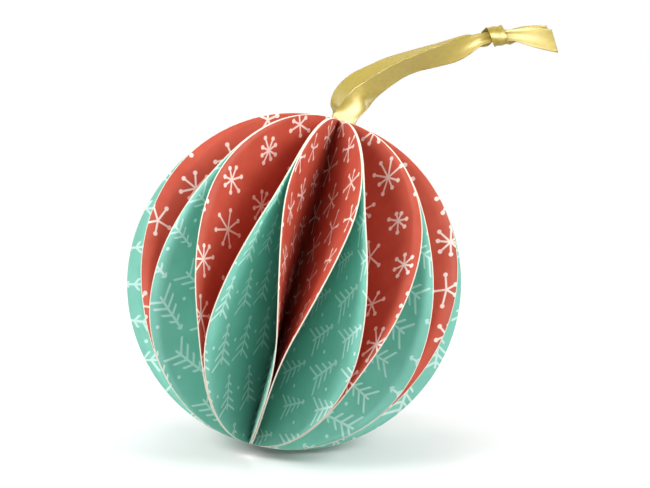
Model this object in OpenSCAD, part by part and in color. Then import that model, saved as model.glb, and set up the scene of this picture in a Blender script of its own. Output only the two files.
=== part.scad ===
// Paper bauble: discs of two-sided printed card, each folded in half along its crease and glued
// to its neighbours round one axis, with a doubled satin ribbon glued in at the top as a hanger.
// Each fold is pressed shut at the bottom and spread open at the top, so that every leaf of card
// is drawn into a long S between the neighbour that it meets below and the one that it meets above.
// The origin is the middle of the ball, and +Z runs up its axis to the ribbon.

/* [Card discs] */
// Diameter of each disc along its fold
disc_d = 80; // [60:1:120]
// Width of each disc across its fold, trimmed so that the ball comes out round
disc_w = 77.4; // [58:0.2:120]
// Number of folded discs round the ball
disc_count = 12; // [8:2:16]
// Thickness of the card
card_t = 0.3; // [0.2:0.05:0.5]
// Space inside a fold that is pressed shut
fold_gap = 0.1; // [0.05:0.05:0.4]
// Thickness of the glue between neighbouring discs
glue_t = 0.05; // [0.05:0.05:0.2]

/* [Leaves] */
// Height at which the shut folds start to open, from the middle of the ball
open_from = -21; // [-26:1:-12]
// Height at which the leaves meet their neighbours, from the middle of the ball
open_to = 22; // [12:1:26]
// Height over which a leaf eases into and out of its twist
ease_h = 8; // [3:0.5:10]

/* [Ribbon] */
// Width of the ribbon
ribbon_w = 6; // [4:0.5:8]
// Thickness of the ribbon
ribbon_t = 0.2; // [0.1:0.05:0.3]
// Depth to which the doubled ribbon is glued into the ball
tuck_l = 10; // [6:1:20]
// Distance of the ribbon's middle from the axis, along the slot that holds it
tuck_x = 1.2; // [0:0.1:2]
// Space between the ribbon's two layers in the ball
bight_gap = 0.05; // [0.05:0.05:0.3]
// Direction of the slot that holds the ribbon, in degrees from +X
slot_az = -13; // [-45:1:45]
// Height of the knot, where one leg turns round the other
knot_h = 4.8; // [4.4:0.2:6]
// Depth of the knot, front to back
knot_b = 3.2; // [2.8:0.2:5]
// Width to which the ribbon is drawn in on its turn round the knot
knot_w = 3.6; // [3:0.2:5]

/* [Hidden] */
function disc_name(i) = str("folded_disc_", i < 9 ? "0" : "", i + 1);

// Levels of a disc from pole to pole, and facets along a leaf and round a crease
level_count = 28;
leaf_steps = 2;
bend_steps = 4;
// Latitude at which a disc's outline ends at its crease
last_latitude = 88;
// Rings in each stretch of ribbon between two points of its route
ribbon_steps = 2;
// Rings round the turn at the ribbon's lower end
turn_steps = 4;
// Stations on the ribbon's turn round the knot
knot_steps = 8;

disc_r = disc_d / 2;
// Angle from a disc's middle plane to the plane where it meets its neighbour
share_angle = 180 / disc_count;
// Radius of a crease at the middle of the card
crease_r = (card_t + fold_gap) / 2;
// Distance of each crease from the axis, which leaves the glue line between two open leaves
core_r = (crease_r + card_t / 2 + glue_t / 2) / sin(share_angle);

// The slot between the ball's two halves takes the ribbon's two layers and their glue
slot_w = 2 * ribbon_t + bight_gap + 2 * glue_t;
half_shift = (slot_w - glue_t) / 2;
slot_along = [cos(slot_az), sin(slot_az), 0];
slot_across = [-sin(slot_az), cos(slot_az), 0];
// Distance of each ribbon layer from the middle of the slot
layer_r = (ribbon_t + bight_gap) / 2;
// Height above the ball's top at which the ribbon is free of the card
free_z = 0.2;
ball_top = [0, 0, disc_r];

// Route of the ribbon's two legs from the ball to their cut ends, from the ball's top:
// x, y, z, turn of its width down from +X, tilt of its width towards +Y, share of its full width
front_leg = [
    [1.5, -0.5, 1.6, 2, -14, 1],
    [2.5, -0.9, 3.8, 5, -2, 1],
    [3.3, -1.1, 5.6, 12, 12, 1],
    [4.2, -0.9, 7.4, 22, 28, 1],
    [5.4, -0.5, 9.2, 34, 39, 1],
    [7.4, -0.1, 11.7, 41, 46, 1],
    [10.8, 0.1, 15.4, 46, 53, 1],
    [14.0, 0.2, 18.0, 53, 54, 1],
    [17.7, 0.1, 20.4, 57, 46, 1],
    [22.0, 0.0, 23.2, 60, 36, 1],
    [24.8, -0.2, 25.3, 58, 24, 0.8],
    [27.6, -0.4, 27.7, 55, 8, 0.5],
    [31.5, 0.0, 29.7, 62, 2, 0.45],
    [35.3, -0.5, 30.9, 68, 8, 0.5],
    [39.5, -0.9, 31.6, 72, 14, 0.8],
    [45.0, -1.3, 32.0, 56, 22, 1]];
back_leg = [
    [1.0, 0.15, 1.8, 0, -14, 1],
    [-0.2, 1.1, 3.2, 0, -32, 1],
    [-0.9, 1.8, 5.2, 5, -44, 1],
    [-0.6, 2.0, 7.2, 15, -48, 1],
    [0.4, 2.0, 9.1, 28, -48, 1],
    [2.1, 1.9, 11.3, 40, -50, 1],
    [5.3, 1.9, 14.3, 48, -55, 1],
    [8.6, 2.0, 17.2, 52, -60, 1],
    [14.8, 2.4, 21.6, 60, -70, 1],
    [20.2, 2.8, 25.0, 60, -72, 1],
    [24.6, 3.0, 27.2, 60, -56, 0.8]];
back_tail = [
    [38.8, 0.6, 31.9, 70, 14, 0.8],
    [43.6, 0.3, 32.7, 60, 20, 1]];
// Middle of the knot from the ball's top, and the slope of its axis
knot_at = [31.4, 0, 29.7];
knot_slope = 25;
// Angles round the axis from which and to which the back leg turns, from the back over the top
knot_from = -10;
knot_to = 345;
// Advance along the axis on half the turn, even and gathered towards its ends
knot_lead = 1.2;
knot_run_out = 2.4;

function unit(v) = v / norm(v);
function backwards(list) = [for (i = [len(list) - 1 : -1 : 0]) list[i]];
function mirrored(outline) = [for (p = outline) [p.x, -p.y]];

// Share of its full opening that a leaf has at height z, eased at both ends
function opening(z) =
    let (
        h = open_to - open_from,
        u = (z - open_from) / h,
        e = ease_h / h
    )
    u < -e ? 0 :
    u < e ? pow(u + e, 2) / (4 * e) :
    u < 1 - e ? u :
    u < 1 + e ? 1 - pow(1 + e - u, 2) / (4 * e) :
    1;

// Point at radius r and angle a from a crease's own line
function crease_point(r, a) = [core_r + r * cos(a), r * sin(a)];

// One face of a leaf in section, from the crease to the rim
function leaf_face(r, theta, reach) = [
    for (k = [0 : leaf_steps])
        crease_point(r, 90 + theta) + reach * k / leaf_steps * [cos(theta), sin(theta)]
];

// Section of a folded disc at height z: the outside of both leaves round the crease, then the inside
function disc_section(z) =
    let (
        theta = share_angle * opening(z),
        half_chord = disc_w / disc_d * sqrt(pow(disc_r, 2) - pow(z, 2)),
        reach = half_chord - crease_r * (90 - theta) * PI / 180,
        outside = leaf_face(crease_r + card_t / 2, theta, reach),
        inside = leaf_face(crease_r - card_t / 2, theta, reach),
        bend = [
            for (k = [1 : bend_steps - 1])
                crease_point(crease_r + card_t / 2, 90 + theta + k * (180 - 2 * theta) / bend_steps)
        ]
    )
    concat(backwards(outside), bend, mirrored(outside), backwards(mirrored(inside)), inside);

// Place of each point of a section along its leaf, which picks the same diagonals on both faces
function section_ranks() =
    let (outward = [for (k = [0 : leaf_steps]) k])
    concat(backwards(outward), [for (k = [1 : bend_steps - 1]) 0], outward, backwards(outward), outward);

// Triangles between rings of n points each, split along the diagonal that the ranks give
function skin(ring_count, n, ranks) = [
    for (j = [0 : ring_count - 2], i = [0 : n - 1])
        let (
            next = (i + 1) % n,
            above = (j + 1) * n,
            a = j * n + i,
            b = j * n + next,
            c = above + next,
            d = above + i
        )
        each ranks[i] > ranks[next] ? [[a, d, b], [d, c, b]] : [[a, d, c], [a, c, b]]
];
function end_caps(ring_count, n) = [
    [for (i = [0 : n - 1]) i],
    [for (i = [n - 1 : -1 : 0]) (ring_count - 1) * n + i]
];

// Lower cut end of a folded disc: the card's thickness along both leaves, and round the crease,
// where a fan from the middle of the bend fills it
function card_end() =
    let (
        right_base = leaf_steps,
        left_base = leaf_steps + bend_steps,
        mid_bend = leaf_steps + bend_steps / 2,
        last = 4 * leaf_steps + bend_steps + 2,
        inner_right = last - leaf_steps,
        inner_left = inner_right - 1,
        crease = concat([for (k = [mid_bend + 1 : left_base]) k], [inner_left, inner_right],
            [for (k = [right_base : mid_bend - 1]) k])
    )
    concat(
        [for (k = [0 : leaf_steps - 1]) [k, k + 1, last - k - 1, last - k]],
        [for (k = [0 : len(crease) - 2]) [mid_bend, crease[k], crease[k + 1]]],
        [
            for (k = [0 : leaf_steps - 1])
                [left_base + k, left_base + k + 1, inner_left - k - 1, inner_left - k]
        ]);
function upper_end(faces, first) = [for (face = faces) [for (i = backwards(face)) first + i]];

module folded_disc(i) {
    heights = [
        for (j = [0 : level_count]) disc_r * sin(last_latitude * (2 * j / level_count - 1))
    ];
    ranks = section_ranks();
    side = i < disc_count / 2 ? 1 : -1;
    color("#5BAF97")
        translate(side * half_shift * slot_across)
            rotate([0, 0, slot_az + (2 * i + 1) * share_angle])
                polyhedron(
                    points = [for (z = heights) for (p = disc_section(z)) [p.x, p.y, z]],
                    faces = concat(
                        skin(len(heights), len(ranks), ranks),
                        card_end(),
                        upper_end(card_end(), level_count * len(ranks))));
}

// Value at t on the smooth curve through a list, where t counts the list's points
function along(list, t) =
    let (
        last = len(list) - 1,
        i = min(floor(t), last - 1),
        f = t - i,
        a = list[max(i - 1, 0)],
        b = list[i],
        c = list[i + 1],
        d = list[min(i + 2, last)]
    )
    b + f / 2 * ((c - a) + f * ((2 * a - 5 * b + 4 * c - d) + f * (3 * b - 3 * c + d - a)));

// A station of the ribbon: its middle, the direction of its width and the share of its full width
function station(p, w, share) = [p.x, p.y, p.z, w.x, w.y, w.z, share];
function routed(leg) = [
    for (s = leg)
        station([s[0], s[1], s[2]], [cos(s[4]) * cos(s[3]), sin(s[4]), -cos(s[4]) * sin(s[3])], s[5])
];

// Place of the ribbon in its slot: across gives the layer and z the height from the ball's top
function tucked(across, z) =
    station(tuck_x * slot_along + across * slot_across + [0, 0, z], slot_along, 1);

// The back leg's turn round the front leg: a screw line that runs out along the axis at both ends
function knot_turn() =
    let (
        axis = [cos(knot_slope), 0, sin(knot_slope)],
        deep = (knot_b - ribbon_t) / 2 * [0, 1, 0],
        high = (knot_h - ribbon_t) / 2 * [-sin(knot_slope), 0, cos(knot_slope)]
    )
    [
        for (k = [0 : knot_steps])
            let (
                half = 2 * k / knot_steps - 1,
                a = (knot_from + knot_to + half * (knot_to - knot_from)) / 2,
                from_axis = deep * cos(a) + high * sin(a),
                turning = (high * cos(a) - deep * sin(a)) * (knot_to - knot_from) / 2 * PI / 180,
                advance = knot_lead * half + knot_run_out * pow(half, 5),
                run = turning + axis * (knot_lead + 5 * knot_run_out * pow(half, 4))
            )
            station(knot_at + from_axis + axis * advance, unit(cross(from_axis, run)), knot_w / ribbon_w)
    ];

// A leg's stations from the top of the slot to its cut end
function leg_stations(route, across) =
    let (whole = concat([tucked(across, free_z)], route))
    [
        for (k = [0 : (len(whole) - 1) * ribbon_steps]) along(whole, k / ribbon_steps)
    ];

// The whole ribbon, from one cut end down into the slot, round its turn and up to the other end
function ribbon_stations() = concat(
    backwards(leg_stations(routed(front_leg), -layer_r)),
    [
        for (k = [0 : turn_steps])
            let (a = 180 * k / turn_steps)
            tucked(-layer_r * cos(a), -tuck_l + layer_r * (1 - sin(a)))
    ],
    leg_stations(concat(routed(back_leg), knot_turn(), routed(back_tail)), layer_r));

function station_point(s) = ball_top + [s[0], s[1], s[2]];
function station_width(s) = [s[3], s[4], s[5]];

// Four corners of a flat band's section
function band_ring(middle, across, out, w, t) = [
    middle + across * w / 2 + out * t / 2,
    middle - across * w / 2 + out * t / 2,
    middle - across * w / 2 - out * t / 2,
    middle + across * w / 2 - out * t / 2
];

module hanging_ribbon() {
    stations = ribbon_stations();
    last = len(stations) - 1;
    rings = [
        for (i = [0 : last])
            let (
                run = station_point(stations[min(i + 1, last)]) - station_point(stations[max(i - 1, 0)]),
                across = unit(station_width(stations[i])),
                out = unit(cross(run, across))
            )
            band_ring(station_point(stations[i]), across, out, ribbon_w * stations[i][6], ribbon_t)
    ];
    // Places of the four corners across the band, which pick the same diagonals on both faces
    ranks = [1, 0, 0, 1];
    color("#BFA83C")
        polyhedron(
            points = [for (ring = rings) each ring],
            faces = concat(skin(len(rings), len(ranks), ranks), end_caps(len(rings), len(ranks))));
}

for (i = [0 : disc_count - 1])
    folded_disc(i);
hanging_ribbon();
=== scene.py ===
"""Looks of the paper bauble: folded discs of printed card round one axis, hung on a satin ribbon."""
import math

import bpy
import numpy as np
from mathutils import Matrix, Vector


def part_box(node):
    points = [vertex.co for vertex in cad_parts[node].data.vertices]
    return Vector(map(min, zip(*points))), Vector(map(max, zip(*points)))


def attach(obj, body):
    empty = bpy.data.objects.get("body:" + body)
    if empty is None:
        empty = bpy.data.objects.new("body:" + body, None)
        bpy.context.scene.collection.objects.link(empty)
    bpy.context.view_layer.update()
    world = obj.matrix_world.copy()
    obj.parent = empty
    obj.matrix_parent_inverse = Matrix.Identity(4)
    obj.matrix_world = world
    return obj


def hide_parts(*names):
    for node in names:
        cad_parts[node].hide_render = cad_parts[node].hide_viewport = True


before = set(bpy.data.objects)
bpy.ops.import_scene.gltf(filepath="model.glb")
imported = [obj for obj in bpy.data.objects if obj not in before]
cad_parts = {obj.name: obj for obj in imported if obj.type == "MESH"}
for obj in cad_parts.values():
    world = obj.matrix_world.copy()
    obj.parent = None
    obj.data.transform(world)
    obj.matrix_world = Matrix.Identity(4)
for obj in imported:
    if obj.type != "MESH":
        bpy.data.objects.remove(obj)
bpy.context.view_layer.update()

MM = 0.001
MATH = "ShaderNodeMath"
VECTOR = "ShaderNodeVectorMath"
RANGE = "ShaderNodeMapRange"

# Card discs, as they are cut, folded and glued
DISCS = sorted(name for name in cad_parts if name.startswith("folded_disc"))
LAST_LATITUDE = math.radians(88)
DISC_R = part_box(DISCS[0])[1].z / math.sin(LAST_LATITUDE)
DISC_W = 77.4 * MM
CARD_T = 0.3 * MM
FOLD_GAP = 0.1 * MM
GLUE_T = 0.05 * MM
OPEN_FROM = -21 * MM
OPEN_TO = 22 * MM
EASE_H = 8 * MM
SHARE_ANGLE = math.pi / len(DISCS)
CREASE_R = (CARD_T + FOLD_GAP) / 2
CORE_R = (CREASE_R + CARD_T / 2 + GLUE_T / 2) / math.sin(SHARE_ANGLE)
LEVELS = 96
LEAF_COLUMNS = 10
BEND_COLUMNS = 8
MERGE_GAP = 0.001 * MM

# Ribbon, and the slot between the ball's two halves that holds its doubled end
RIBBON_W = 6 * MM
RIBBON_T = 0.2 * MM
BIGHT_GAP = 0.05 * MM
TUCK_L = 10 * MM
TUCK_X = 1.2 * MM
FREE_Z = 0.2 * MM
SLOT_AZ = math.radians(-13)
SLOT_ALONG = Vector((math.cos(SLOT_AZ), math.sin(SLOT_AZ), 0))
SLOT_ACROSS = Vector((-math.sin(SLOT_AZ), math.cos(SLOT_AZ), 0))
SLOT_W = 2 * RIBBON_T + BIGHT_GAP + 2 * GLUE_T
HALF_SHIFT = (SLOT_W - GLUE_T) / 2
LAYER_R = (RIBBON_T + BIGHT_GAP) / 2
BALL_TOP = Vector((0, 0, DISC_R))

# Route of the ribbon's two legs from the ball to their cut ends, in mm from the ball's top:
# x, y, z, turn of its width down from +X, tilt of its width towards +Y, share of its full width
FRONT_LEG = (
    (1.5, -0.5, 1.6, 2, -14, 1),
    (2.5, -0.9, 3.8, 5, -2, 1),
    (3.3, -1.1, 5.6, 12, 12, 1),
    (4.2, -0.9, 7.4, 22, 28, 1),
    (5.4, -0.5, 9.2, 34, 39, 1),
    (7.4, -0.1, 11.7, 41, 46, 1),
    (10.8, 0.1, 15.4, 46, 53, 1),
    (14.0, 0.2, 18.0, 53, 54, 1),
    (17.7, 0.1, 20.4, 57, 46, 1),
    (22.0, 0.0, 23.2, 60, 36, 1),
    (24.8, -0.2, 25.3, 58, 24, 0.8),
    (27.6, -0.4, 27.7, 55, 8, 0.5),
    (31.5, 0.0, 29.7, 62, 2, 0.45),
    (35.3, -0.5, 30.9, 68, 8, 0.5),
    (39.5, -0.9, 31.6, 72, 14, 0.8),
    (45.0, -1.3, 32.0, 56, 22, 1),
)
BACK_LEG = (
    (1.0, 0.15, 1.8, 0, -14, 1),
    (-0.2, 1.1, 3.2, 0, -32, 1),
    (-0.9, 1.8, 5.2, 5, -44, 1),
    (-0.6, 2.0, 7.2, 15, -48, 1),
    (0.4, 2.0, 9.1, 28, -48, 1),
    (2.1, 1.9, 11.3, 40, -50, 1),
    (5.3, 1.9, 14.3, 48, -55, 1),
    (8.6, 2.0, 17.2, 52, -60, 1),
    (14.8, 2.4, 21.6, 60, -70, 1),
    (20.2, 2.8, 25.0, 60, -72, 1),
    (24.6, 3.0, 27.2, 60, -56, 0.8),
)
BACK_TAIL = (
    (38.8, 0.6, 31.9, 70, 14, 0.8),
    (43.6, 0.3, 32.7, 60, 20, 1),
)

# Knot: the back leg's turn round the front leg, a screw line that runs out along its axis at both ends
KNOT_AT = np.array((31.4, 0, 29.7)) * MM
KNOT_SLOPE = math.radians(25)
KNOT_AXIS = np.array((math.cos(KNOT_SLOPE), 0, math.sin(KNOT_SLOPE)))
KNOT_H, KNOT_B, KNOT_W = 4.8 * MM, 3.2 * MM, 3.6 * MM
KNOT_HIGH = np.array((-math.sin(KNOT_SLOPE), 0, math.cos(KNOT_SLOPE))) * (KNOT_H - RIBBON_T) / 2
KNOT_DEEP = np.array((0, 1, 0)) * (KNOT_B - RIBBON_T) / 2
KNOT_FROM, KNOT_TO = math.radians(-10), math.radians(345)
KNOT_LEAD = 1.2 * MM
KNOT_RUN_OUT = 2.4 * MM
KNOT_STEPS = 8

# Photograph: its frame, the ball's middle in it, the real size of a pixel there, how far the ball leans
# to the right and its top nods away from the camera, and how far the camera looks down on the table
PHOTO_W, PHOTO_H = 650, 488
BALL_PIXEL = (294.5, 281.5)
PIXEL = 0.239 * MM
CAMERA_FAR = 600 * MM
CAMERA_CLIP = (0.01, 20.0)
SENSOR_W = 36.0
LEAN = math.radians(15.3)
NOD = math.radians(1.1)
FLOOR_TILT = math.radians(14)

VIEW_TURN = Matrix.Rotation(NOD, 3, "X") @ Matrix.Rotation(-LEAN, 3, "Y")
VIEW_RIGHT, VIEW_UP, VIEW_BACK = (VIEW_TURN @ Vector(axis) for axis in ((1, 0, 0), (0, 0, 1), (0, -1, 0)))


def linear(hex_colour):
    """An sRGB hex colour as linear red, green, blue and alpha."""
    parts = [int(hex_colour[i:i + 2], 16) / 255 for i in (1, 3, 5)]
    return [c / 12.92 if c <= 0.04045 else ((c + 0.055) / 1.055) ** 2.4 for c in parts] + [1.0]


def add(tree, kind, feeds=None, **settings):
    """Adds a node with its settings. feeds gives an input a value, a socket or a list of sockets."""
    made = tree.nodes.new(kind)
    for name, value in settings.items():
        setattr(made, name, value)
    for key, value in (feeds or {}).items():
        if isinstance(value, bpy.types.NodeSocket):
            tree.links.new(value, made.inputs[key])
        elif isinstance(value, list) and isinstance(value[0], bpy.types.NodeSocket):
            for socket in value:
                tree.links.new(socket, made.inputs[key])
        else:
            made.inputs[key].default_value = value
    return made.outputs


def from_view(right, up, back):
    """A point given along the photograph's own right, up and towards its camera, from the ball's middle."""
    return VIEW_RIGHT * right + VIEW_UP * up + VIEW_BACK * back


def link_object(name, data):
    """A new object in the scene, at the origin."""
    made = bpy.data.objects.new(name, data)
    bpy.context.scene.collection.objects.link(made)
    return made


# Camera
def make_camera():
    """The photograph's camera, aimed so that the ball's middle falls on its pixel."""
    data = bpy.data.cameras.new("photo_camera")
    data.sensor_width = SENSOR_W
    data.lens = SENSOR_W * CAMERA_FAR / (PHOTO_W * PIXEL)
    data.clip_start, data.clip_end = CAMERA_CLIP
    right = (BALL_PIXEL[0] - PHOTO_W / 2) * PIXEL
    up = (PHOTO_H / 2 - BALL_PIXEL[1]) * PIXEL
    away = Vector((right, up, -CAMERA_FAR))
    square = Matrix((VIEW_RIGHT, VIEW_UP, VIEW_BACK)).transposed()
    aim = square @ away.rotation_difference(Vector((0, 0, -1))).to_matrix()
    camera = link_object("photo_camera", data)
    camera.matrix_world = Matrix.Translation(VIEW_BACK * CAMERA_FAR) @ aim.to_4x4()
    bpy.context.scene.camera = camera


# Ribbon: rings to a stretch of its route, columns across it, the pleats where it is drawn in, and the
# selvedges' added thickness and the share of the half width at which they start
RIBBON_STEP = 12
BAND_COLUMNS = 20
PLEAT_H = 0.2 * MM
PLEAT_COUNT = 1.7
PLEAT_START = 0.6
SELVEDGE = 0.5
SELVEDGE_FROM = 0.9


def along(points, t):
    """Value at t on the smooth curve through a list, where t counts the list's points."""
    last = len(points) - 1
    i = min(int(t), last - 1)
    f = t - i
    a, b = points[max(i - 1, 0)], points[i]
    c, d = points[i + 1], points[min(i + 2, last)]
    return b + f / 2 * ((c - a) + f * ((2 * a - 5 * b + 4 * c - d) + f * (3 * b - 3 * c + d - a)))


def routed(leg):
    """Stations of a leg: its middle, the direction of its width and the share of its full width."""
    stations = []
    for x, y, z, turn, tilt, share in leg:
        turn, tilt = math.radians(turn), math.radians(tilt)
        width = (math.cos(tilt) * math.cos(turn), math.sin(tilt), -math.cos(tilt) * math.sin(turn))
        stations.append(np.array((x * MM, y * MM, z * MM, *width, share)))
    return stations


def knot_turn():
    """Stations of the back leg's turn round the front leg."""
    stations = []
    for half in np.linspace(-1, 1, KNOT_STEPS + 1):
        angle = (KNOT_FROM + KNOT_TO + half * (KNOT_TO - KNOT_FROM)) / 2
        from_axis = KNOT_DEEP * math.cos(angle) + KNOT_HIGH * math.sin(angle)
        turning = (KNOT_HIGH * math.cos(angle) - KNOT_DEEP * math.sin(angle)) * (KNOT_TO - KNOT_FROM) / 2
        run = turning + KNOT_AXIS * (KNOT_LEAD + 5 * KNOT_RUN_OUT * half ** 4)
        width = np.cross(from_axis, run)
        middle = KNOT_AT + from_axis + KNOT_AXIS * (KNOT_LEAD * half + KNOT_RUN_OUT * half ** 5)
        stations.append(np.array((*middle, *(width / np.linalg.norm(width)), KNOT_W / RIBBON_W)))
    return stations


def leg_stations(route, layer):
    """All stations of one leg: straight up in the slot, then along its route."""
    place = SLOT_ALONG * TUCK_X + SLOT_ACROSS * layer
    heights = np.linspace(-TUCK_L, FREE_Z, RIBBON_STEP + 1)
    slot = [np.array((place.x, place.y, z, *SLOT_ALONG, 1)) for z in heights]
    whole = [slot[-1]] + route
    free = [along(whole, k / RIBBON_STEP) for k in range((len(whole) - 1) * RIBBON_STEP + 1)]
    return np.array(slot[:-1] + free)


def band_mesh(name, stations, material):
    """A closed flat band through its stations, with selvedges, and with pleats where it is drawn in."""
    middles, widths, shares = stations[:, :3] + np.array(BALL_TOP), stations[:, 3:6], stations[:, 6]
    side = widths / np.linalg.norm(widths, axis=1)[:, None]
    out = np.cross(np.gradient(middles, axis=0), side)
    out /= np.linalg.norm(out, axis=1)[:, None]
    v = np.linspace(-1, 1, BAND_COLUMNS + 1)
    drawn_in = PLEAT_H * np.clip(1 - shares, 0, None)
    lift = drawn_in[:, None] * np.cos(PLEAT_COUNT * math.pi * v + PLEAT_START)[None, :]
    half_t = RIBBON_T / 2 * (1 + SELVEDGE * (np.abs(v) > SELVEDGE_FROM))
    flat = middles[:, None] + side[:, None] * (v[None, :] * RIBBON_W / 2 * shares[:, None])[..., None]
    upper = flat + out[:, None] * (lift + half_t)[..., None]
    lower = flat + out[:, None] * (lift - half_t)[..., None]
    rings = np.concatenate([upper, lower[:, ::-1]], axis=1)
    count, n = rings.shape[:2]
    faces = [
        (j * n + i, j * n + (i + 1) % n, (j + 1) * n + (i + 1) % n, (j + 1) * n + i)
        for j in range(count - 1) for i in range(n)
    ]
    for first, flip in ((0, True), ((count - 1) * n, False)):
        for i in range(BAND_COLUMNS):
            cap = [first + i, first + i + 1, first + n - 2 - i, first + n - 1 - i]
            faces.append(cap[::-1] if flip else cap)
    mesh = bpy.data.meshes.new(name)
    mesh.from_pydata(rings.reshape(-1, 3).tolist(), [], faces)
    length = np.concatenate([[0], np.cumsum(np.linalg.norm(np.diff(middles, axis=0), axis=1))])
    across = np.concatenate([v, v[::-1]]) * RIBBON_W / 2
    weave = mesh.uv_layers.new(name="weave_mm")
    for loop in mesh.loops:
        ring, i = divmod(loop.vertex_index, n)
        weave.data[loop.index].uv = (across[i] / MM, length[ring] / MM)
    mesh.shade_smooth()
    mesh.materials.append(material)
    return link_object(name, mesh), middles.tolist(), float(length[-1])


# Folded discs
def fold_tree():
    """Geometry Nodes that fold one disc of card: a grid becomes the inside of the fold, row by row from
    pole to pole, and is thickened to its outside. The fold is shut below and eases open to its full angle
    above."""
    tree = bpy.data.node_groups.new("folded_disc", "GeometryNodeTree")
    for name in ("Disc radius", "Half width", "Last latitude", "Card thickness", "Crease radius",
                 "Core radius", "Share angle", "Open from", "Open to", "Ease height", "Disc turn",
                 "Print turn"):
        tree.interface.new_socket(name, in_out="INPUT", socket_type="NodeSocketFloat")
    for name in ("Disc shift", "Print shift"):
        tree.interface.new_socket(name, in_out="INPUT", socket_type="NodeSocketVector")
    for name in ("Levels", "Leaf columns", "Bend columns"):
        tree.interface.new_socket(name, in_out="INPUT", socket_type="NodeSocketInt")
    for name in ("Inside print", "Outside print", "Cut edge"):
        tree.interface.new_socket(name, in_out="INPUT", socket_type="NodeSocketMaterial")
    tree.interface.new_socket("Mesh", in_out="OUTPUT", socket_type="NodeSocketGeometry")
    size = add(tree, "NodeGroupInput")

    # A square grid, whose columns are shared between the bend in the middle and the two leaves
    leaf_total = add(tree, MATH, {0: size["Leaf columns"], 1: 2.0}, operation="MULTIPLY")[0]
    columns = add(tree, MATH, {0: leaf_total, 1: size["Bend columns"]}, operation="ADD")[0]
    bend_part = add(tree, MATH, {0: size["Bend columns"], 1: columns}, operation="DIVIDE")[0]
    leaf_part = add(tree, MATH, {0: 1.0, 1: bend_part}, operation="SUBTRACT")[0]
    across_count = add(tree, MATH, {0: columns, 1: 1.0}, operation="ADD")[0]
    up_count = add(tree, MATH, {0: size["Levels"], 1: 1.0}, operation="ADD")[0]
    grid = add(tree, "GeometryNodeMeshGrid", {
        "Size X": 2.0, "Size Y": 2.0, "Vertices X": across_count, "Vertices Y": up_count})["Mesh"]
    place = add(tree, "GeometryNodeInputPosition")[0]
    place = add(tree, "ShaderNodeSeparateXYZ", {0: place})
    column, level = place["X"], place["Y"]

    # Height of a row and the half chord of the disc there
    latitude = add(tree, MATH, {0: level, 1: size["Last latitude"]}, operation="MULTIPLY")[0]
    rise = add(tree, MATH, {0: latitude}, operation="SINE")[0]
    height = add(tree, MATH, {0: size["Disc radius"], 1: rise}, operation="MULTIPLY")[0]
    narrow = add(tree, MATH, {0: latitude}, operation="COSINE")[0]
    half_chord = add(tree, MATH, {0: size["Half width"], 1: narrow}, operation="MULTIPLY")[0]

    # Share of its full angle to which the fold is open, a straight ramp eased at both ends
    ramp_h = add(tree, MATH, {0: size["Open to"], 1: size["Open from"]}, operation="SUBTRACT")[0]
    climbed = add(tree, MATH, {0: height, 1: size["Open from"]}, operation="SUBTRACT")[0]
    climbed = add(tree, MATH, {0: climbed, 1: ramp_h}, operation="DIVIDE")[0]
    ease = add(tree, MATH, {0: size["Ease height"], 1: ramp_h}, operation="DIVIDE")[0]
    eased = 0.0
    for knee, turn in ((0.0, 1.0), (1.0, -1.0)):
        for side in (1.0, -1.0):
            past = add(tree, MATH, {0: ease, 1: side, 2: climbed}, operation="MULTIPLY_ADD")[0]
            past = add(tree, MATH, {0: past, 1: knee}, operation="SUBTRACT")[0]
            past = add(tree, MATH, {0: past, 1: 0.0}, operation="MAXIMUM")[0]
            past = add(tree, MATH, {0: past, 1: 2.0}, operation="POWER")[0]
            eased = add(tree, MATH, {0: past, 1: turn * side, 2: eased}, operation="MULTIPLY_ADD")[0]
    four_eases = add(tree, MATH, {0: ease, 1: 4.0}, operation="MULTIPLY")[0]
    opening = add(tree, MATH, {0: eased, 1: four_eases}, operation="DIVIDE")[0]
    theta = add(tree, MATH, {0: opening, 1: size["Share angle"]}, operation="MULTIPLY")[0]

    # Place across the paper: round the bend first, then straight out along the leaf
    mirror = add(tree, MATH, {0: column}, operation="SIGN")[0]
    out = add(tree, MATH, {0: column}, operation="ABSOLUTE")[0]
    bend_share = add(tree, MATH, {0: out, 1: bend_part}, operation="DIVIDE")[0]
    bend_share = add(tree, MATH, {0: bend_share, 1: 1.0}, operation="MINIMUM")[0]
    leaf_share = add(tree, MATH, {0: out, 1: bend_part}, operation="SUBTRACT")[0]
    leaf_share = add(tree, MATH, {0: leaf_share, 1: 0.0}, operation="MAXIMUM")[0]
    leaf_share = add(tree, MATH, {0: leaf_share, 1: leaf_part}, operation="DIVIDE")[0]
    quarter = add(tree, MATH, {0: math.pi / 2, 1: theta}, operation="SUBTRACT")[0]
    arc = add(tree, MATH, {0: size["Crease radius"], 1: quarter}, operation="MULTIPLY")[0]
    reach = add(tree, MATH, {0: half_chord, 1: arc}, operation="SUBTRACT")[0]
    run = add(tree, MATH, {0: reach, 1: leaf_share}, operation="MULTIPLY")[0]
    bent = add(tree, MATH, {0: bend_share, 1: quarter}, operation="MULTIPLY")[0]
    facing = add(tree, MATH, {0: math.pi, 1: bent}, operation="SUBTRACT")[0]
    normal_x = add(tree, MATH, {0: facing}, operation="COSINE")[0]
    normal_y = add(tree, MATH, {0: facing}, operation="SINE")[0]
    leaf_x = add(tree, MATH, {0: theta}, operation="COSINE")[0]
    leaf_y = add(tree, MATH, {0: theta}, operation="SINE")[0]

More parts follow.
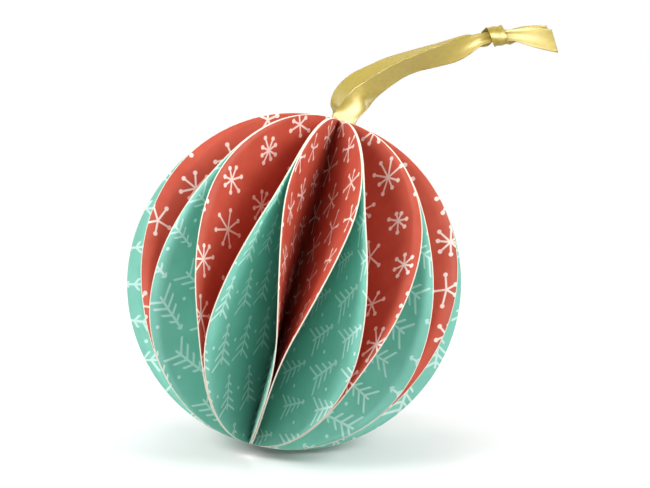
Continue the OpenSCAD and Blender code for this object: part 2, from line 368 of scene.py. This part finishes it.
    # Section of the fold: its inside face, and its outside one card's thickness further out
    half_card = add(tree, MATH, {0: size["Card thickness"], 1: 0.5}, operation="MULTIPLY")[0]
    faces = []
    for way in ("SUBTRACT", "ADD"):
        radius = add(tree, MATH, {0: size["Crease radius"], 1: half_card}, operation=way)[0]
        x = add(tree, MATH, {0: radius, 1: normal_x, 2: size["Core radius"]}, operation="MULTIPLY_ADD")[0]
        x = add(tree, MATH, {0: run, 1: leaf_x, 2: x}, operation="MULTIPLY_ADD")[0]
        y = add(tree, MATH, {0: radius, 1: normal_y}, operation="MULTIPLY")[0]
        y = add(tree, MATH, {0: run, 1: leaf_y, 2: y}, operation="MULTIPLY_ADD")[0]
        y = add(tree, MATH, {0: y, 1: mirror}, operation="MULTIPLY")[0]
        spot = add(tree, "ShaderNodeCombineXYZ", {"X": x, "Y": y, "Z": height})[0]
        spot = add(tree, "ShaderNodeVectorRotate", {"Vector": spot, "Angle": size["Disc turn"]},
                   rotation_type="Z_AXIS")[0]
        faces.append(add(tree, VECTOR, {0: spot, 1: size["Disc shift"]}, operation="ADD")[0])
    inside, outside = faces

    # Flat place on the disc, and on the printed sheet that it was cut from, in mm
    unrolled = add(tree, MATH, {0: arc, 1: bend_share, 2: run}, operation="MULTIPLY_ADD")[0]
    unrolled = add(tree, MATH, {0: unrolled, 1: mirror}, operation="MULTIPLY")[0]
    flat = add(tree, "ShaderNodeCombineXYZ", {"X": unrolled, "Y": height})[0]
    flat = add(tree, VECTOR, {0: flat, "Scale": 1 / MM}, operation="SCALE")[0]
    sheet = add(tree, "ShaderNodeVectorRotate", {"Vector": flat, "Angle": size["Print turn"]},
                rotation_type="Z_AXIS")[0]
    sheet = add(tree, VECTOR, {0: sheet, 1: size["Print shift"]}, operation="ADD")[0]

    mesh = add(tree, "GeometryNodeStoreNamedAttribute", {
        "Geometry": grid, "Name": "outside_face", "Value": outside},
        data_type="FLOAT_VECTOR", domain="POINT")[0]
    for name, value in (("flat_mm", flat), ("print_mm", sheet)):
        mesh = add(tree, "GeometryNodeStoreNamedAttribute", {
            "Geometry": mesh, "Name": name, "Value": value}, data_type="FLOAT2", domain="CORNER")[0]
    mesh = add(tree, "GeometryNodeSetPosition", {"Geometry": mesh, "Position": inside})[0]
    inner = add(tree, "GeometryNodeFlipFaces", {"Mesh": mesh})[0]
    shell = add(tree, "GeometryNodeExtrudeMesh", {"Mesh": mesh, "Offset Scale": 0.0, "Individual": False},
                mode="FACES")
    target = add(tree, "GeometryNodeInputNamedAttribute", {"Name": "outside_face"},
                 data_type="FLOAT_VECTOR")[0]
    outer = add(tree, "GeometryNodeSetPosition", {
        "Geometry": shell["Mesh"], "Selection": shell["Top"], "Position": target})[0]
    whole = add(tree, "GeometryNodeJoinGeometry", {"Geometry": [outer, inner]})[0]
    whole = add(tree, "GeometryNodeMergeByDistance", {"Geometry": whole, "Distance": MERGE_GAP})[0]
    whole = add(tree, "GeometryNodeRemoveAttribute", {"Geometry": whole, "Name": "outside_face"})[0]
    card_face = add(tree, "FunctionNodeBooleanMath", {0: shell["Side"]}, operation="NOT")[0]
    whole = add(tree, "GeometryNodeSetShadeSmooth", {"Geometry": whole, "Shade Smooth": card_face})[0]
    whole = add(tree, "GeometryNodeRealizeInstances", {"Geometry": whole})[0]
    whole = add(tree, "GeometryNodeSetMaterial", {"Geometry": whole, "Material": size["Inside print"]})[0]
    whole = add(tree, "GeometryNodeSetMaterial", {
        "Geometry": whole, "Selection": shell["Top"], "Material": size["Outside print"]})[0]
    whole = add(tree, "GeometryNodeSetMaterial", {
        "Geometry": whole, "Selection": shell["Side"], "Material": size["Cut edge"]})[0]
    add(tree, "NodeGroupOutput", {"Mesh": whole})
    return tree


# Turn and step, in mm, from one disc's place on the printed sheet to the next one's
PRINT_TURN = math.radians(137.5)
PRINT_STEP = Vector((37.3, 53.9, 0))


def make_disc(i, tree, materials):
    """One folded disc, cut from its own part of the printed sheet."""
    half = 1 if i < len(DISCS) / 2 else -1
    sizes = {
        "Disc radius": DISC_R, "Half width": DISC_W / 2, "Last latitude": LAST_LATITUDE,
        "Card thickness": CARD_T, "Crease radius": CREASE_R, "Core radius": CORE_R,
        "Share angle": SHARE_ANGLE, "Open from": OPEN_FROM, "Open to": OPEN_TO, "Ease height": EASE_H,
        "Levels": LEVELS, "Leaf columns": LEAF_COLUMNS, "Bend columns": BEND_COLUMNS,
        "Disc turn": SLOT_AZ + (2 * i + 1) * SHARE_ANGLE, "Disc shift": SLOT_ACROSS * half * HALF_SHIFT,
        "Print turn": i * PRINT_TURN, "Print shift": PRINT_STEP * i, **materials,
    }
    base = link_object("fold", bpy.data.meshes.new("fold"))
    fold = base.modifiers.new("fold", "NODES")
    fold.node_group = tree
    for socket in tree.interface.items_tree:
        if socket.in_out == "INPUT":
            fold[socket.identifier] = sizes[socket.name]
    bpy.context.view_layer.update()
    folded = base.evaluated_get(bpy.context.evaluated_depsgraph_get())
    mesh = bpy.data.meshes.new_from_object(folded)
    bpy.data.objects.remove(base)
    mesh.name = DISCS[i] + "_card"
    return link_object(DISCS[i] + "_card", mesh)


# Materials
# Inks on both faces, the card's core and cut edge, and the satin's threads
RED_INK, RED_DEEP = "#C85D49", "#BC513E"
STAR_WHITE = "#F7EAE0"
TEAL_INK, TEAL_DEEP = "#8BD2C0", "#82C8B6"
FIR_PALE = "#D6F2E9"
CARD_CORE = "#F3EBDD"
EDGE_PALE, EDGE_DEEP = "#F4ECDD", "#E2D6C2"
SATIN_DEEP, SATIN_PALE = "#907C0A", "#A89218"
# The middle of a noise's values, which is stretched to the whole range
NOISE_SPAN = (0.3, 0.7)
# Soft rim of a printed line, in mm
SOFT_EDGE = 0.08

# Snow stars, in mm: width of a cell, and its height as a share of that, radius of a star, how far it strays
# from its cell's middle, line and dot. Then the number of arms, and an arm's length and swing as shares
STAR_CELL = 11.5
STAR_ROW = 0.92
STAR_R = (2.9, 5.2)
STAR_JITTER = 0.9
STAR_LINE = 0.48
STAR_DOT = 0.54
STAR_ARMS = (4.6, 8.4)
ARM_SHARE = (0.6, 1.0)
ARM_SWING = 0.16


def cell_of(tree, place, cell_w, cell_h):
    """Cell of the printed sheet, in rows that step half a cell, and the place in mm from its middle."""
    grid = add(tree, VECTOR, {0: place, 1: (cell_w, cell_h, 1)}, operation="DIVIDE")[0]
    part = add(tree, "ShaderNodeSeparateXYZ", {0: grid})
    row = add(tree, MATH, {0: part["Y"]}, operation="FLOOR")[0]
    odd = add(tree, MATH, {0: row, 1: 2.0}, operation="FLOORED_MODULO")[0]
    stepped = add(tree, MATH, {0: odd, 1: 0.5, 2: part["X"]}, operation="MULTIPLY_ADD")[0]
    grid = add(tree, "ShaderNodeCombineXYZ", {"X": stepped, "Y": part["Y"]})[0]
    cell = add(tree, VECTOR, {0: grid}, operation="FLOOR")[0]
    inside = add(tree, VECTOR, {0: grid}, operation="FRACTION")[0]
    inside = add(tree, VECTOR, {0: inside, 1: (0.5, 0.5, 0)}, operation="SUBTRACT")[0]
    inside = add(tree, VECTOR, {0: inside, 1: (cell_w, cell_h, 0)}, operation="MULTIPLY")[0]
    return cell, inside


def snow_stars(tree, place):
    """Mask of hand-drawn snow stars: uneven arms with a dot at each end, one star to a cell."""
    cell, at = cell_of(tree, place, STAR_CELL, STAR_CELL * STAR_ROW)
    nudge = add(tree, "ShaderNodeTexWhiteNoise", {"Vector": cell, "W": 1.0}, noise_dimensions="4D")["Color"]
    nudge = add(tree, VECTOR, {0: nudge, 1: (0.5, 0.5, 0.5)}, operation="SUBTRACT")[0]
    nudge = add(tree, VECTOR, {0: nudge, 1: (2 * STAR_JITTER, 2 * STAR_JITTER, 0)}, operation="MULTIPLY")[0]
    at = add(tree, VECTOR, {0: at, 1: nudge}, operation="SUBTRACT")[0]
    chance = add(tree, "ShaderNodeTexWhiteNoise", {"Vector": cell, "W": 2.0},
                 noise_dimensions="4D")["Color"]
    chance = add(tree, "ShaderNodeSeparateColor", {0: chance})
    radius = add(tree, RANGE, {"Value": chance[0], "To Min": STAR_R[0], "To Max": STAR_R[1]})[0]
    arms = add(tree, RANGE, {"Value": chance[1], "To Min": STAR_ARMS[0], "To Max": STAR_ARMS[1]})[0]
    arms = add(tree, MATH, {0: arms}, operation="ROUND")[0]
    sector = add(tree, MATH, {0: 2 * math.pi, 1: arms}, operation="DIVIDE")[0]
    xy = add(tree, "ShaderNodeSeparateXYZ", {0: at})
    angle = add(tree, MATH, {0: xy["Y"], 1: xy["X"]}, operation="ARCTAN2")[0]
    angle = add(tree, MATH, {0: chance[2], 1: 2 * math.pi, 2: angle}, operation="MULTIPLY_ADD")[0]
    far = add(tree, VECTOR, {0: at}, operation="LENGTH")["Value"]

    # The nearest arm, with its own length and its own small swing
    arm = add(tree, MATH, {0: angle, 1: sector}, operation="DIVIDE")[0]
    arm = add(tree, MATH, {0: arm}, operation="ROUND")[0]
    which = add(tree, MATH, {0: arm, 1: arms}, operation="FLOORED_MODULO")[0]
    which = add(tree, MATH, {0: which, 1: 10.0}, operation="ADD")[0]
    own = add(tree, "ShaderNodeTexWhiteNoise", {"Vector": cell, "W": which}, noise_dimensions="4D")["Color"]
    own = add(tree, "ShaderNodeSeparateColor", {0: own})
    share = add(tree, RANGE, {"Value": own[0], "To Min": ARM_SHARE[0], "To Max": ARM_SHARE[1]})[0]
    length = add(tree, MATH, {0: radius, 1: share}, operation="MULTIPLY")[0]
    swing = add(tree, RANGE, {"Value": own[1], "To Min": -ARM_SWING, "To Max": ARM_SWING})[0]
    swung = add(tree, MATH, {0: arm, 1: swing}, operation="ADD")[0]
    swung = add(tree, MATH, {0: swung, 1: sector}, operation="MULTIPLY")[0]
    off = add(tree, MATH, {0: angle, 1: swung}, operation="SUBTRACT")[0]
    cosine = add(tree, MATH, {0: off}, operation="COSINE")[0]
    sine = add(tree, MATH, {0: off}, operation="SINE")[0]
    x = add(tree, MATH, {0: far, 1: cosine}, operation="MULTIPLY")[0]
    y = add(tree, MATH, {0: far, 1: sine}, operation="MULTIPLY")[0]

    # Distance from the arm's line, and from the dot at its end
    on_line = add(tree, MATH, {0: x, 1: 0.0}, operation="MAXIMUM")[0]
    on_line = add(tree, MATH, {0: on_line, 1: length}, operation="MINIMUM")[0]
    gap_x = add(tree, MATH, {0: x, 1: on_line}, operation="SUBTRACT")[0]
    gap = add(tree, "ShaderNodeCombineXYZ", {"X": gap_x, "Y": y})[0]
    gap = add(tree, VECTOR, {0: gap}, operation="LENGTH")["Value"]
    gap = add(tree, MATH, {0: gap, 1: STAR_LINE / 2}, operation="SUBTRACT")[0]
    dot_x = add(tree, MATH, {0: x, 1: length}, operation="SUBTRACT")[0]
    dot = add(tree, "ShaderNodeCombineXYZ", {"X": dot_x, "Y": y})[0]
    dot = add(tree, VECTOR, {0: dot}, operation="LENGTH")["Value"]
    dot = add(tree, MATH, {0: dot, 1: STAR_DOT}, operation="SUBTRACT")[0]
    nearest = add(tree, MATH, {0: gap, 1: dot}, operation="MINIMUM")[0]
    return add(tree, RANGE, {
        "Value": nearest, "From Min": -SOFT_EDGE, "From Max": SOFT_EDGE, "To Min": 1.0, "To Max": 0.0})[0]


# Fir trees, in mm: cell, height, line, step between pairs of branches, the topmost pair's reach and a dot's
# radius. Then the last pair's number, the branches' droop and spread down the stem as slopes, and a tree's
# tilt and its size as a share
FIR_CELL = (9.0, 13.0)
FIR_H = 9.0
FIR_LINE = 0.52
FIR_STEP = 1.9
FIR_TIP = 0.45
SEED_R = 0.45
LAST_PAIR = 4.0
FIR_DROOP = 0.75
FIR_SPREAD = 0.36
FIR_TILT = math.radians(9)
FIR_SIZE = (0.88, 1.12)


def fir_trees(tree, place):
    """Mask of line-drawn fir trees: a stem, drooping branches in pairs, shorter upwards, and dots."""
    cell, at = cell_of(tree, place, *FIR_CELL)
    chance = add(tree, "ShaderNodeTexWhiteNoise", {"Vector": cell, "W": 3.0},
                 noise_dimensions="4D")["Color"]
    chance = add(tree, "ShaderNodeSeparateColor", {0: chance})
    tilt = add(tree, RANGE, {"Value": chance[0], "To Min": -FIR_TILT, "To Max": FIR_TILT})[0]
    upright = add(tree, "ShaderNodeVectorRotate", {"Vector": at, "Angle": tilt}, rotation_type="Z_AXIS")[0]
    grown = add(tree, RANGE, {"Value": chance[1], "To Min": FIR_SIZE[0], "To Max": FIR_SIZE[1]})[0]
    shrink = add(tree, MATH, {0: 1.0, 1: grown}, operation="DIVIDE")[0]
    upright = add(tree, VECTOR, {0: upright, "Scale": shrink}, operation="SCALE")[0]
    xy = add(tree, "ShaderNodeSeparateXYZ", {0: upright})
    side = add(tree, MATH, {0: xy["X"]}, operation="ABSOLUTE")[0]

    # Stem
    on_stem = add(tree, "ShaderNodeClamp", {"Value": xy["Y"], "Min": -FIR_H / 2, "Max": FIR_H / 2})[0]
    gap_y = add(tree, MATH, {0: xy["Y"], 1: on_stem}, operation="SUBTRACT")[0]
    stem = add(tree, "ShaderNodeCombineXYZ", {"X": side, "Y": gap_y})[0]
    stem = add(tree, VECTOR, {0: stem}, operation="LENGTH")["Value"]

    # The nearest pair of branches, counted down from the top
    level = add(tree, MATH, {0: side, 1: FIR_DROOP, 2: xy["Y"]}, operation="MULTIPLY_ADD")[0]
    below = add(tree, MATH, {0: FIR_H / 2, 1: level}, operation="SUBTRACT")[0]
    pair = add(tree, MATH, {0: below, 1: FIR_STEP}, operation="DIVIDE")[0]
    pair = add(tree, MATH, {0: pair}, operation="ROUND")[0]
    pair = add(tree, "ShaderNodeClamp", {"Value": pair, "Min": 0.0, "Max": LAST_PAIR})[0]
    drop = add(tree, MATH, {0: pair, 1: FIR_STEP}, operation="MULTIPLY")[0]
    reach = add(tree, MATH, {0: drop, 1: FIR_SPREAD, 2: FIR_TIP}, operation="MULTIPLY_ADD")[0]
    off = add(tree, MATH, {0: below, 1: drop}, operation="SUBTRACT")[0]
    off = add(tree, MATH, {0: off, 1: math.cos(math.atan(FIR_DROOP))}, operation="MULTIPLY")[0]
    past = add(tree, MATH, {0: side, 1: reach}, operation="SUBTRACT")[0]
    past = add(tree, MATH, {0: past, 1: 0.0}, operation="MAXIMUM")[0]
    branch = add(tree, "ShaderNodeCombineXYZ", {"X": past, "Y": off})[0]
    branch = add(tree, VECTOR, {0: branch}, operation="LENGTH")["Value"]
    line = add(tree, MATH, {0: stem, 1: branch}, operation="MINIMUM")[0]
    line = add(tree, MATH, {0: line, 1: FIR_LINE / 2}, operation="SUBTRACT")[0]

    # A dot half-way to the next tree of the row
    seed = add(tree, VECTOR, {0: at}, operation="ABSOLUTE")[0]
    seed = add(tree, VECTOR, {0: seed, 1: (FIR_CELL[0] / 2, 0, 0)}, operation="SUBTRACT")[0]
    seed = add(tree, VECTOR, {0: seed}, operation="LENGTH")["Value"]
    seed = add(tree, MATH, {0: seed, 1: SEED_R}, operation="SUBTRACT")[0]
    nearest = add(tree, MATH, {0: line, 1: seed}, operation="MINIMUM")[0]
    return add(tree, RANGE, {
        "Value": nearest, "From Min": -SOFT_EDGE, "From Max": SOFT_EDGE, "To Min": 1.0, "To Max": 0.0})[0]


def new_material(name):
    """An empty material and its tree."""
    material = bpy.data.materials.new(name)
    material.use_nodes = True
    material.node_tree.nodes.clear()
    return material, material.node_tree


# Card, in mm: size of the mottle, width and height of a fibre, drawn as coarse as they need to show, and
# reach of the wear at the rim, with the share of it over which it fades
MOTTLE = 6.0
FIBRE = 0.45
FIBRE_H = 0.012
EDGE_WEAR = 0.06
WEAR_FADE = 0.4


def printed_card(name, ink, ink_deep, mark, marks, roughness):
    """Offset-printed matt card: even ink with a faint mottle, fibres that just break the surface, and the
    pale core showing in a hair line where the knife has bruised the print along the cut edge."""
    material, tree = new_material(name)
    flat = add(tree, "ShaderNodeUVMap", uv_map="flat_mm")[0]
    sheet = add(tree, "ShaderNodeUVMap", uv_map="print_mm")[0]
    mottle = add(tree, "ShaderNodeTexNoise", {"Vector": sheet, "Scale": 1 / MOTTLE, "Detail": 3.0})[0]
    mottle = add(tree, RANGE, {"Value": mottle, "From Min": NOISE_SPAN[0], "From Max": NOISE_SPAN[1]})[0]
    field = add(tree, "ShaderNodeMix", {"Factor": mottle, 6: linear(ink), 7: linear(ink_deep)},
                data_type="RGBA")[2]
    drawn = add(tree, "ShaderNodeMix", {"Factor": marks(tree, sheet), 6: field, 7: linear(mark)},
                data_type="RGBA")[2]
    fibre = add(tree, "ShaderNodeTexNoise", {"Vector": flat, "Scale": 1 / FIBRE, "Detail": 4.0})[0]
    out = add(tree, VECTOR, {0: flat, 1: (2 * DISC_R / DISC_W, 1, 0)}, operation="MULTIPLY")[0]
    out = add(tree, VECTOR, {0: out}, operation="LENGTH")["Value"]
    out = add(tree, MATH, {0: fibre, 1: 2 * EDGE_WEAR, 2: out}, operation="MULTIPLY_ADD")[0]
    rim, fade = DISC_R / MM, EDGE_WEAR * WEAR_FADE
    worn = add(tree, RANGE, {"Value": out, "From Min": rim - fade, "From Max": rim + fade})[0]
    colour = add(tree, "ShaderNodeMix", {"Factor": worn, 6: drawn, 7: linear(CARD_CORE)},
                 data_type="RGBA")[2]
    bump = add(tree, "ShaderNodeBump", {"Height": fibre, "Strength": 0.6, "Distance": FIBRE_H * MM})[0]
    surface = add(tree, "ShaderNodeBsdfPrincipled", {
        "Base Color": colour, "Roughness": roughness, "Specular IOR Level": 0.2, "Normal": bump})[0]
    add(tree, "ShaderNodeOutputMaterial", {"Surface": surface})
    return material


# Width of a drawn fibre on the cut edge
EDGE_FIBRE = 0.3 * MM


def cut_edge():
    """Uncoated core of the card, seen edge on: pale, matt and a little fibrous where the blade went."""
    material, tree = new_material("card_cut_edge")
    place = add(tree, "ShaderNodeTexCoord")["Object"]
    fibre = add(tree, "ShaderNodeTexNoise", {"Vector": place, "Scale": 1 / EDGE_FIBRE, "Detail": 2.0})[0]
    colour = add(tree, "ShaderNodeMix", {"Factor": fibre, 6: linear(EDGE_PALE), 7: linear(EDGE_DEEP)},
                 data_type="RGBA")[2]
    surface = add(tree, "ShaderNodeBsdfPrincipled", {
        "Base Color": colour, "Roughness": 0.9, "Specular IOR Level": 0.2})[0]
    add(tree, "ShaderNodeOutputMaterial", {"Surface": surface})
    return material


# Width of a drawn warp thread and length of its floats, in mm
WARP, FLOAT = 0.13, 1.625


def satin_ribbon():
    """Polyester satin: long floats of bright warp thread along the ribbon, which stretch each highlight
    across it and turn from cream to olive with the angle. The threads are drawn coarser than real ones, to
    show."""
    material, tree = new_material("satin_ribbon")
    place = add(tree, "ShaderNodeUVMap", uv_map="weave_mm")[0]
    drawn_out = add(tree, VECTOR, {0: place, 1: (1 / WARP, 1 / FLOAT, 1)}, operation="MULTIPLY")[0]
    thread = add(tree, "ShaderNodeTexNoise", {"Vector": drawn_out, "Scale": 1.0, "Detail": 2.0})[0]
    thread = add(tree, RANGE, {"Value": thread, "From Min": NOISE_SPAN[0], "From Max": NOISE_SPAN[1]})[0]
    colour = add(tree, "ShaderNodeMix", {"Factor": thread, 6: linear(SATIN_DEEP), 7: linear(SATIN_PALE)},
                 data_type="RGBA")[2]
    tangent = add(tree, "ShaderNodeTangent", direction_type="UV_MAP", uv_map="weave_mm")[0]
    surface = add(tree, "ShaderNodeBsdfPrincipled", {
        "Base Color": colour, "Roughness": 0.42, "IOR": 1.6, "Specular IOR Level": 0.85,
        "Anisotropic": 0.75, "Tangent": tangent})[0]
    add(tree, "ShaderNodeOutputMaterial", {"Surface": surface})
    return material


# Stage
# Table top: its reach, where it starts and ends fading to plain white, and how white it is to the eye and
# to the light that it throws back on the ball
FLOOR_R = 6.0
FLOOR_NEAR, FLOOR_FAR = 90 * MM, 260 * MM
FLOOR_SEEN, FLOOR_BOUNCE = 0.97, 0.6


def make_floor():
    """A white table top under the ball, which fades to plain white away from it."""
    normal = (VIEW_UP * math.cos(FLOOR_TILT) + VIEW_BACK * math.sin(FLOOR_TILT)).normalized()
    lowest = min(vertex.co.dot(normal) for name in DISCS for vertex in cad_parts[name].data.vertices)
    mesh = bpy.data.meshes.new("table_top")
    mesh.from_pydata([(x, y, 0) for x, y in ((-1, -1), (1, -1), (1, 1), (-1, 1))], [], [(0, 1, 2, 3)])
    mesh.transform(Matrix.Scale(FLOOR_R, 4))
    floor = link_object("table_top", mesh)
    tilt = normal.to_track_quat("Z", "Y").to_matrix().to_4x4()
    floor.matrix_world = Matrix.Translation(normal * lowest) @ tilt
    material, tree = new_material("white_table")
    place = add(tree, "ShaderNodeTexCoord")["Object"]
    away = add(tree, VECTOR, {0: place}, operation="LENGTH")["Value"]
    away = add(tree, RANGE, {"Value": away, "From Min": FLOOR_NEAR, "From Max": FLOOR_FAR},
               interpolation_type="SMOOTHSTEP")[0]
    path = add(tree, "ShaderNodeLightPath")
    seen = add(tree, MATH, {0: path["Is Camera Ray"], 1: path["Is Glossy Ray"]}, operation="MAXIMUM")[0]
    seen = add(tree, MATH, {0: seen, 1: path["Is Transmission Ray"]}, operation="MAXIMUM")[0]
    white = add(tree, RANGE, {"Value": seen, "To Min": FLOOR_BOUNCE, "To Max": FLOOR_SEEN})[0]
    matt = add(tree, "ShaderNodeBsdfDiffuse", {"Color": white})[0]
    plain = add(tree, "ShaderNodeEmission", {"Color": (1, 1, 1, 1), "Strength": 1.0})[0]
    top = add(tree, "ShaderNodeMixShader", {0: away, 1: matt, 2: plain})[0]
    under = add(tree, "ShaderNodeNewGeometry")["Backfacing"]
    clear = add(tree, "ShaderNodeBsdfTransparent")[0]
    surface = add(tree, "ShaderNodeMixShader", {0: under, 1: top, 2: clear})[0]
    add(tree, "ShaderNodeOutputMaterial", {"Surface": surface})
    mesh.materials.append(material)


def make_light(name, place, size, power):
    """A soft box at a place given in the photograph's directions, turned to the ball."""
    data = bpy.data.lights.new(name, "AREA")
    data.shape, data.size = "DISK", size
    data.energy = power
    lamp = link_object(name, data)
    spot = from_view(*place)
    lamp.matrix_world = Matrix.Translation(spot) @ spot.to_track_quat("Z", "Y").to_matrix().to_4x4()


# Soft boxes: place in the photograph's directions and width, in metres, and power in watts
LAMPS = {
    "left_box": ((-0.7, 0.52, 0.64), 0.5, 6.8),
    "right_box": ((0.76, 0.46, 0.62), 0.5, 7.2),
    "top_box": ((-0.1, 1.0, 0.1), 0.4, 1.5),
}
# Dark strip where the camera stands: the reaches sideways and towards the camera over which it sets in
STRIP_ASIDE = (0.25, 0.6)
STRIP_FRONT = (0.0, 0.4)
# Window behind the camera: the way to it in the photograph's directions, the cosines of the angles from
# there at which it ends and is at its brightest, and how bright that is
WINDOW_WAY = (-0.17, -0.14, 0.97)
WINDOW_ENDS = (math.cos(math.radians(34)), math.cos(math.radians(14)))
WINDOW_LEVEL = 23.0


def make_world():
    """A white room, which lights the ball evenly but for a dark strip where the camera stands. Reflections
    show it white behind the ball and dark in front, with a window that glints on the satin and lights
    nothing. The camera sees plain white all round."""
    world = bpy.data.worlds.new("studio")
    world.use_nodes = True
    bpy.context.scene.world = world
    tree = world.node_tree
    tree.nodes.clear()
    way = add(tree, "ShaderNodeTexCoord")["Generated"]
    aside = add(tree, VECTOR, {0: way, 1: VIEW_RIGHT}, operation="DOT_PRODUCT")["Value"]
    aside = add(tree, MATH, {0: aside}, operation="ABSOLUTE")[0]
    clear = add(tree, RANGE, {"Value": aside, "From Min": STRIP_ASIDE[0], "From Max": STRIP_ASIDE[1]},
                interpolation_type="SMOOTHSTEP")[0]
    front = add(tree, VECTOR, {0: way, 1: VIEW_BACK}, operation="DOT_PRODUCT")["Value"]
    behind = add(tree, RANGE, {
        "Value": front, "From Min": STRIP_FRONT[0], "From Max": STRIP_FRONT[1],
        "To Min": 1.0, "To Max": 0.0}, interpolation_type="SMOOTHSTEP")[0]
    level = add(tree, MATH, {0: clear, 1: behind}, operation="MAXIMUM")[0]
    path = add(tree, "ShaderNodeLightPath")
    to_window = from_view(*WINDOW_WAY).normalized()
    window = add(tree, VECTOR, {0: way, 1: to_window}, operation="DOT_PRODUCT")["Value"]
    brightest = add(tree, RANGE, {"Value": path["Diffuse Depth"], "To Min": WINDOW_LEVEL, "To Max": 0.0})[0]
    window = add(tree, RANGE, {
        "Value": window, "From Min": WINDOW_ENDS[0], "From Max": WINDOW_ENDS[1], "To Max": brightest},
        interpolation_type="SMOOTHSTEP")[0]
    shown = add(tree, MATH, {0: behind, 1: window}, operation="ADD")[0]
    level = add(tree, "ShaderNodeMix", {"Factor": path["Is Glossy Ray"], 2: level, 3: shown})[0]
    for ray in ("Is Camera Ray", "Is Transmission Ray"):
        level = add(tree, MATH, {0: level, 1: path[ray]}, operation="MAXIMUM")[0]
    white = add(tree, "ShaderNodeBackground", {"Color": (1, 1, 1, 1), "Strength": level})[0]
    add(tree, "ShaderNodeOutputWorld", {"Surface": white})


bpy.context.scene.view_settings.view_transform = "Standard"
make_camera()

satin = satin_ribbon()
for name, route, layer in (
        ("ribbon_front_leg", routed(FRONT_LEG), -LAYER_R),
        ("ribbon_back_leg", routed(BACK_LEG) + knot_turn() + routed(BACK_TAIL), LAYER_R)):
    strand, path, length = band_mesh(name, leg_stations(route, layer), satin)
    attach(strand, "root")
    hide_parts("hanging_ribbon")

card = {
    "Inside print": printed_card(
        "red_star_print", RED_INK, RED_DEEP, STAR_WHITE, snow_stars, roughness=0.45),
    "Outside print": printed_card(
        "teal_fir_print", TEAL_INK, TEAL_DEEP, FIR_PALE, fir_trees, roughness=0.42),
    "Cut edge": cut_edge(),
}
fold = fold_tree()
for i, name in enumerate(DISCS):
    disc = make_disc(i, fold, card)
    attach(disc, "root")
    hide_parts(name)

make_floor()
make_world()
for name, (place, size, power) in LAMPS.items():
    make_light(name, place, size, power)

bpy.context.view_layer.update()
